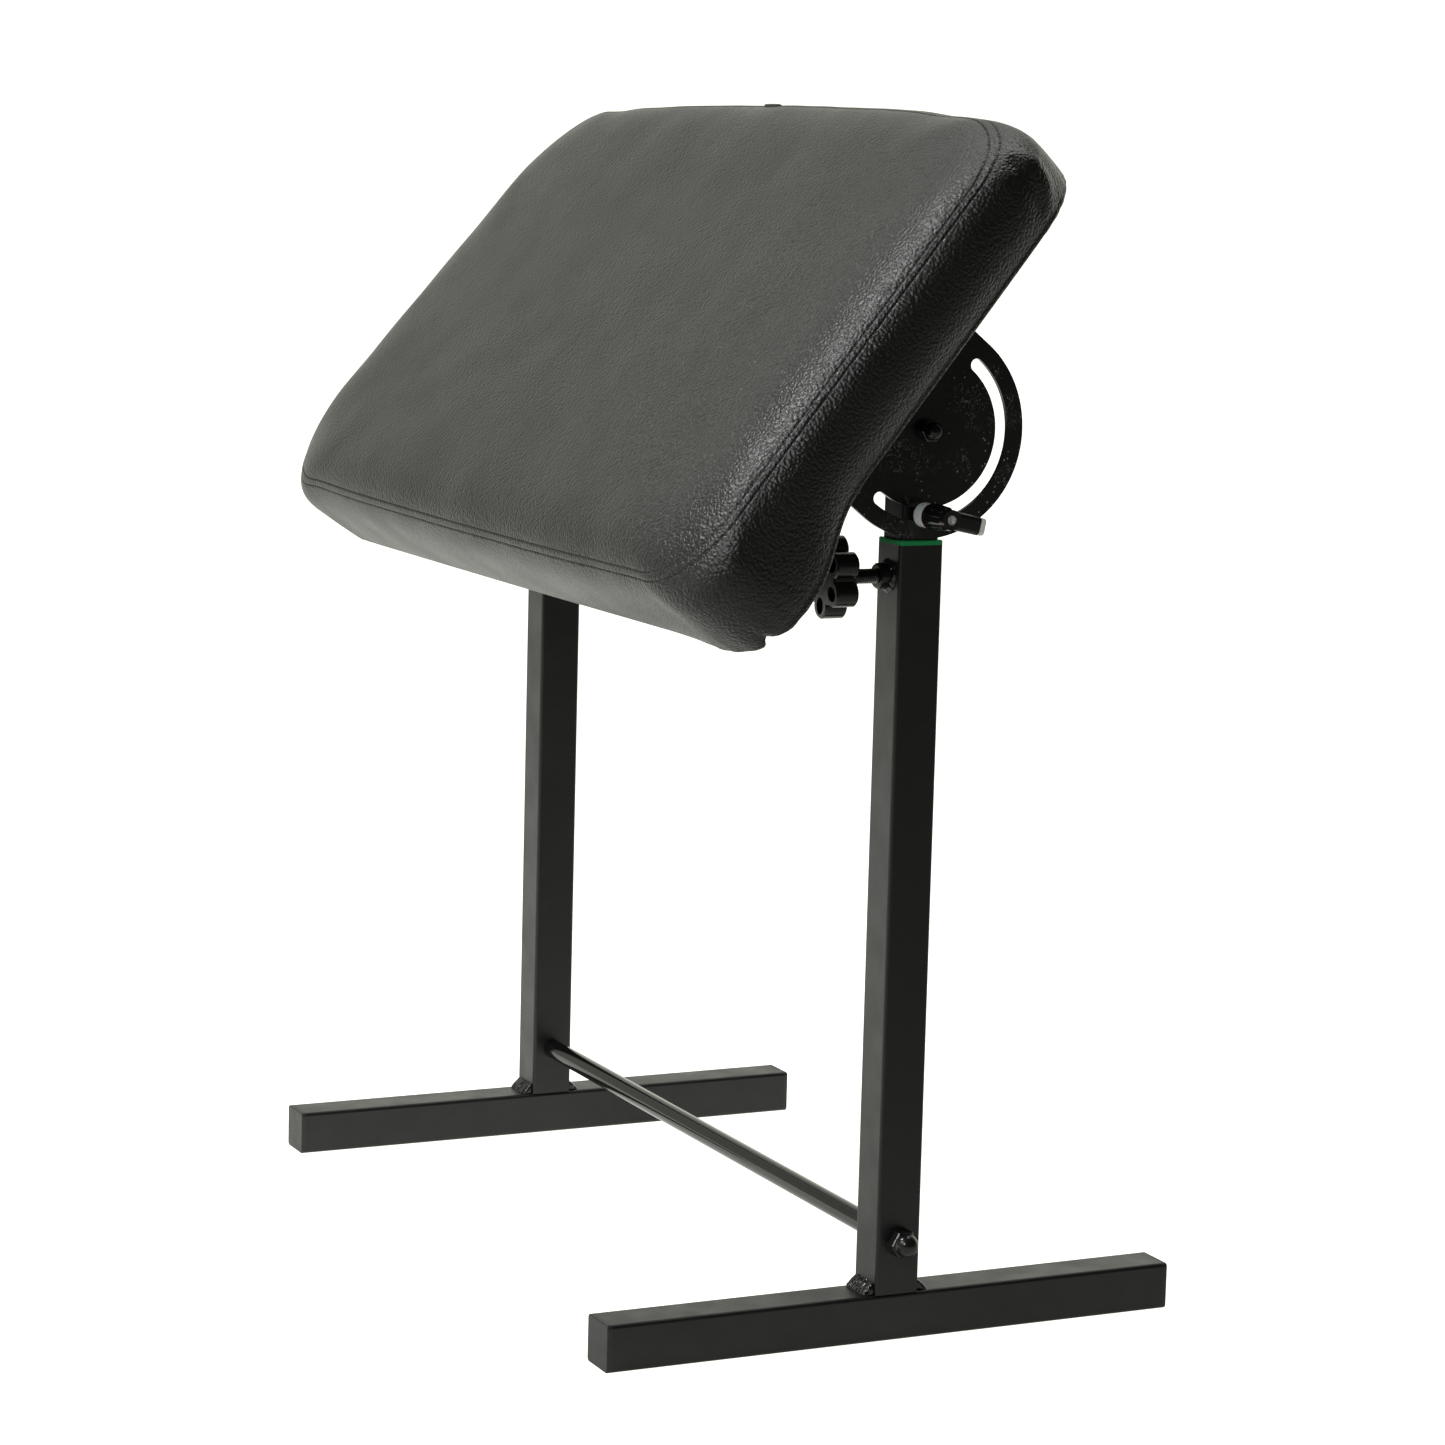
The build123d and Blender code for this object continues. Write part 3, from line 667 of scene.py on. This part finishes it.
def noise_at(points, scale, seed=0.0):
    """Smooth noise from -1 to 1 at each point."""
    return np.array([noise.noise(Vector(p) * scale + Vector((seed, seed, seed))) for p in points])


def seam_distance(shape, local):
    """Distance of each ring from the seam's middle line, measured along the profile, positive above it."""
    rings = len(shape.profile())
    column = local.reshape(rings, AROUND, 3)[:, 0]
    steps = np.linalg.norm(np.diff(column, axis=0), axis=1)
    along = np.concatenate([[0], np.cumsum(steps)])
    levels = np.array([ring[0] for ring in shape.profile()])
    middle_ring = int(np.argmin(abs(levels - 1.0)))
    return along - along[middle_ring]


def seam_relief(distance, gap):
    """Height across the seam: a shallow valley, two stitched grooves and a raised band between them."""
    valley_depth, groove_depth, band_height = 0.35, 0.85, 0.35  # all in mm
    valley_width, groove_width, band_edge = 7 * MM, 0.6 * MM, 0.25 * MM
    off = abs(distance)
    valley = -valley_depth * np.exp(-((off / valley_width) ** 2))
    grooves = -groove_depth * np.exp(-(((off - gap / 2) / groove_width) ** 2))
    band = band_height / (1 + np.exp((off - gap / 2) / band_edge))
    return (valley + grooves + band) * MM


def corner_gathers(shape, local, world):
    """Fine folds where the cover is drawn round the board's corners."""
    depth, folds, fade_in, fade_out = 0.22 * MM, 22, 25 * MM, 8 * MM
    x, u, n = local.T
    corner_x = shape.half_x - shape.CORNER_BOARD
    corner_u = shape.half_u - shape.CORNER_BOARD
    angle = np.arctan2(abs(u) - corner_u, abs(x) - corner_x)
    in_corner = smooth_step(abs(x), corner_x - fade_in, corner_x + fade_out)
    in_corner *= smooth_step(abs(u), corner_u - fade_in, corner_u + fade_out)
    low = 1 - smooth_step(n, shape.bottom - 4 * MM, shape.bottom + 24 * MM)
    skin = smooth_step(abs(n - shape.bottom - shape.HEM_THICK), 0.2 * MM, 0.6 * MM)
    waves = np.sin(angle * folds + 2.5 * noise_at(world, 30.0, 5.0))
    return depth * in_corner * low * skin * waves


def side_pleat(shape, local):
    """One slanting pleat and the fold beside it, on the cushion's +x side."""
    depth, place, slant, fold_gap = 2.2 * MM, 150 * MM, 0.25, 13 * MM
    x, u, n = local.T
    line = u - place - slant * (n - shape.WIDEST)
    pleat = np.exp(-((line / (7 * MM)) ** 2)) - 0.7 * np.exp(-(((line - fold_gap) / (8 * MM)) ** 2))
    on_side = smooth_step(x, shape.half_x - 14 * MM, shape.half_x - 6 * MM)
    on_side *= smooth_step(n, shape.bottom + 4 * MM, shape.bottom + 22 * MM)
    return depth * pleat * on_side * (1 - smooth_step(n, 84 * MM, 94 * MM))


def surface_relief(shape, local, world, distance):
    """Small shapes of a sewn cover: the seam, uneven foam, gathers at the board's corners and a pleat."""
    foam_swell, foam_dents = 0.7 * MM, 0.35 * MM
    relief = np.repeat(seam_relief(distance, shape.SEAM_GAP), AROUND)
    relief *= 0.9 + 0.25 * noise_at(world, 60.0, 3.0)
    upper = smooth_step(local[:, 2], shape.bottom + 2 * MM, shape.WIDEST)
    relief += upper * (foam_swell * noise_at(world, 9.0, 1.0) + foam_dents * noise_at(world, 24.0, 2.0))
    relief += corner_gathers(shape, local, world)
    relief -= side_pleat(shape, local)
    return relief


def stitch_row(line, normals, pitch, length, radius):
    """Capsule-shaped stitches laid one after another along a closed line."""
    around = 6
    closed = np.vstack([line, line[:1]])
    steps = np.linalg.norm(np.diff(closed, axis=0), axis=1)
    place = np.concatenate([[0], np.cumsum(steps)])
    count = int(place[-1] / pitch)
    pitch = place[-1] / count
    ups = np.vstack([normals, normals[:1]])

    def at(distance, field):
        """The value of a field at a distance along the line."""
        return np.array([np.interp(distance, place, field[:, k]) for k in range(3)])

    points, faces = [], []
    stations = ((-1.0, 0.25), (-0.8, 0.8), (-0.35, 1.0), (0.35, 1.0), (0.8, 0.8), (1.0, 0.25))
    for stitch in range(count):
        start = stitch * pitch
        ends = [at(start, closed), at(start + length, closed)]
        up = at(start + length / 2, ups)
        up /= np.linalg.norm(up)
        ahead = (ends[1] - ends[0]) / 2
        side = np.cross(ahead, up)
        side /= np.linalg.norm(side)
        middle_point = (ends[0] + ends[1]) / 2
        base = len(points)
        for share, width in stations:
            lift = radius * (0.55 - 1.3 * share**4)
            centre_point = middle_point + ahead * share + up * lift
            for k in range(around):
                turn = 2 * math.pi / around * k
                points.append(centre_point + radius * width * (side * math.cos(turn) + up * math.sin(turn)))
        faces += tube_faces(len(stations), around, base)
    return points, faces


def make_cushion(finish, thread_finish):
    """The cover with its foam, its two rows of stitches and the tab at the seam's end."""
    pitch, length, radius = 4.3 * MM, 3.1 * MM, 0.42 * MM  # of the stitches
    shape = Cushion()
    local = shape.rows()
    faces = shape.faces()
    points = pad_frame(local)
    points = points + inflate(points, faces, finish, shape.bottom + 9 * MM)
    distance = seam_distance(shape, local)
    relief = surface_relief(shape, local, points, distance)
    points = points + normals_of(points, faces) * relief[:, None]
    piece = add_piece("cushion", points, faces, finish)
    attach(piece, "pad")
    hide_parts("pad_cover", "pad_foam")
    normals = normals_of(points, faces)

    def ring_at(from_seam):
        """The points and normals of the ring nearest to a distance from the seam."""
        row = int(np.argmin(abs(distance - from_seam)))
        span = slice(row * AROUND, (row + 1) * AROUND)
        return points[span], normals[span]

    stitch_points, stitch_faces = [], []
    for side in (-1, 1):
        made, made_faces = stitch_row(*ring_at(side * shape.SEAM_GAP / 2), pitch, length, radius)
        stitch_faces += [tuple(i + len(stitch_points) for i in face) for face in made_faces]
        stitch_points += made
    thread = add_piece("cover_stitching", stitch_points, stitch_faces, thread_finish)
    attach(thread, "pad")
    make_seam_tab(*ring_at(0), finish)


# ---------------------------------------------------------------- small parts
def make_stud(side, finish):
    """The M10 thread of a knob's stud, cut as one helix."""
    node = f"knob_stud_{side}"
    low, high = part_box(node)
    centre = (low + high) / 2
    pitch, crest, root, end = 1.5 * MM, 4.95 * MM, 4.05 * MM, 0.9 * MM
    around, steps_per_pitch = 40, 10
    turn = np.arange(around) * 2 * math.pi / around
    points = []
    stations = np.linspace(high.y, low.y, int((high.y - low.y) / pitch * steps_per_pitch))
    for y in stations:
        flank = 1 - abs(2 * ((y / pitch - turn / (2 * math.pi)) % 1) - 1)
        depth = np.clip(1.3 * flank - 0.15, 0, 1) * min(1, (high.y - y) / end, (y - low.y) / end)
        radius = root + (crest - root) * np.clip(depth, 0, 1)
        ring = (centre.x + radius * np.cos(turn), np.full(around, y), centre.z + radius * np.sin(turn))
        points.append(np.column_stack(ring))
    faces = tube_faces(len(stations), around)
    piece = add_piece(f"threaded_stud_{side}", np.concatenate(points), faces, finish)
    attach(piece, f"knob_{side}")
    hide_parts(node)


def make_weld(node, ripple, lump, finish):
    """A weld bead with the ripples and lumps of a hand-laid one, over the CAD bead's shape."""
    voxel, ripple_length = 0.7 * MM, 0.55 * MM
    bead = bpy.data.objects.new("bead_shape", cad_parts[node].data.copy())
    bpy.context.scene.collection.objects.link(bead)
    even = even_mesh(bead, voxel)
    points = np.array([v.co for v in even.vertices])
    faces = [tuple(face.vertices) for face in even.polygons]
    bpy.data.objects.remove(bead)
    rough = lump * noise_at(points, 330.0, 7.0) + 0.4 * lump * noise_at(points, 900.0, 9.0)
    rough += ripple * np.sin(points[:, 0] / ripple_length + 3 * noise_at(points, 150.0, 4.0))
    points = points + normals_of(points, faces) * rough[:, None]
    piece = add_piece(f"rough_{node}", points, faces, finish)
    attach(piece, "stand")
    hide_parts(node)


def make_lever_ribs(side, finish):
    """Grip ribs along a clamp lever's tapered hub, made for the right side and mirrored for the left."""
    ribs, around, thick = 12, 8, 0.75 * MM
    hub_start, length, base_radius, tip_radius = 7.6 * MM, 17 * MM, 7.95 * MM, 6.95 * MM
    stations = ((0, 0.2), (0.03, 0.8), (0.08, 1), (0.92, 1), (0.97, 0.8), (1, 0.2))
    centre = middle("clamp_spacers")
    low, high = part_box(f"clamp_lever_{side}")
    out = 1 if side == "right" else -1
    start = (low.x if out > 0 else -high.x) + hub_start
    axis_z = middle("clamp_bolts").z
    points, faces = [], []
    for rib in range(ribs):
        angle = 2 * math.pi / ribs * (rib + 0.5)
        spoke = np.array((0, math.cos(angle), math.sin(angle)))
        side_way = np.array((0, -math.sin(angle), math.cos(angle)))
        base = len(points)
        for share, width in stations:
            middle_point = np.array((start + length * share, centre.y, axis_z))
            middle_point = middle_point + spoke * (base_radius + (tip_radius - base_radius) * share)
            for k in range(around):
                turn = 2 * math.pi * k / around
                offset = spoke * math.cos(turn) + side_way * math.sin(turn)
                points.append(middle_point + thick * width * offset)
        faces += tube_faces(len(stations), around, base)
    points = np.array(points)
    if out < 0:
        points[:, 0] *= -1
        faces = [tuple(reversed(f)) for f in faces]
    piece = add_piece(f"lever_ribs_{side}", points, faces, finish)
    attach(piece, f"lever_{side}")


def make_seam_tab(line, normals, finish):
    """The folded end of the cover's seam, which stands out of the high edge."""
    place_x, beyond_middle, around = -15 * MM, 100 * MM, 12
    height, width = 1.1, 1.6  # half sizes across the tab, in mm
    stations = ((-13, 0.2), (-12.5, 0.7), (-11, 1), (0, 1.1), (9, 1), (12, 0.6), (13.5, 0.2))  # in mm
    high_edge = (line - np.array(PIVOT)) @ np.array(UP_SLOPE) > beyond_middle
    column = int(np.argmin(abs(line[:, 0] - place_x) + np.where(high_edge, 0, 1)))
    up = normals[column]
    across = np.cross((1, 0, 0), up)
    points = []
    for place, size in stations:
        for k in range(around):
            turn = 2 * math.pi * k / around
            offset = up * (0.3 + height * size * math.cos(turn)) + across * width * size * math.sin(turn)
            points.append(line[column] + MM * (offset + np.array((place, 0, 0))))
    faces = tube_faces(len(stations), around)
    tab = add_piece("seam_tab", points, faces, finish)
    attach(tab, "pad")


def make_dust_cloth(finish, staple_finish):
    """The thin cloth stapled over the board, with faint puckers at its staples."""
    columns, rows = 229, 117
    corner, sag, staple_gap = 32 * MM, 0.8 * MM, 52 * MM
    pucker, pucker_length = 0.2 * MM, 0.052
    low, high = pad_box("dust_cover")
    half_x, half_u = high[0], high[1]
    level = (low[2] + high[2]) / 2
    u = np.repeat(np.linspace(-half_u, half_u, rows), columns)
    over = np.clip(abs(u) - (half_u - corner), 0, corner)
    reach = half_x - corner + np.sqrt(corner**2 - over**2)
    x = np.tile(np.linspace(-1, 1, columns), rows) * reach
    points = pad_frame(np.column_stack((x, u, np.full(len(x), level))))
    away = smooth_step(250 * MM - abs(x), 0, 40 * MM) * smooth_step(half_u - abs(u), 0, 30 * MM)
    edge = 1 - smooth_step(np.minimum(reach - abs(x), half_u - abs(u)), 0, 22 * MM)
    waves = sag * away * noise_at(points, 14.0, 6.0)
    waves = waves + pucker * edge * np.sin((x + u) * 2 * math.pi / pucker_length)
    points = points + np.outer(waves, OUT)
    grid = np.arange(columns * rows).reshape(rows, columns)
    faces = [
        (int(grid[r, c]), int(grid[r + 1, c]), int(grid[r + 1, c + 1]), int(grid[r, c + 1]))
        for r in range(rows - 1)
        for c in range(columns - 1)
    ]
    cloth = add_piece("underside_cloth", points, faces, finish)
    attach(cloth, "pad")
    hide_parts("dust_cover")
    inset, length, radius = 8 * MM, 10 * MM, 0.45 * MM  # of the staples
    plan = plan_ring(half_x - inset, half_u - inset, corner - inset)
    line = pad_frame(np.column_stack((plan, np.full(len(plan), low[2]))))
    down = np.tile(-np.array(OUT), (len(line), 1))
    made, made_faces = stitch_row(line, down, staple_gap, length, radius)
    staples = add_piece("cloth_staples", made, made_faces, staple_finish)
    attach(staples, "pad")


make_camera()
make_studio()
make_floor()
finishes = paint_frame()
thread = moulded("black_thread", (0.004,) * 3, (0.008,) * 3, (0.5, 0.65), 3000.0)
make_cushion(finishes["pad"], thread)
make_dust_cloth(finishes["dust_cover"], finishes["plate_screws"])
for side in ("left", "right"):
    make_stud(side, finishes["knob_stud"])
    make_lever_ribs(side, finishes["clamp_lever"])
make_weld("post_welds", 0.22 * MM, 0.5 * MM, finishes["post_welds"])
make_weld("boss_welds", 0.0, 0.9 * MM, finishes["boss_welds"])

# The Standard view keeps the photo's background white
bpy.context.scene.view_settings.view_transform = "Standard"
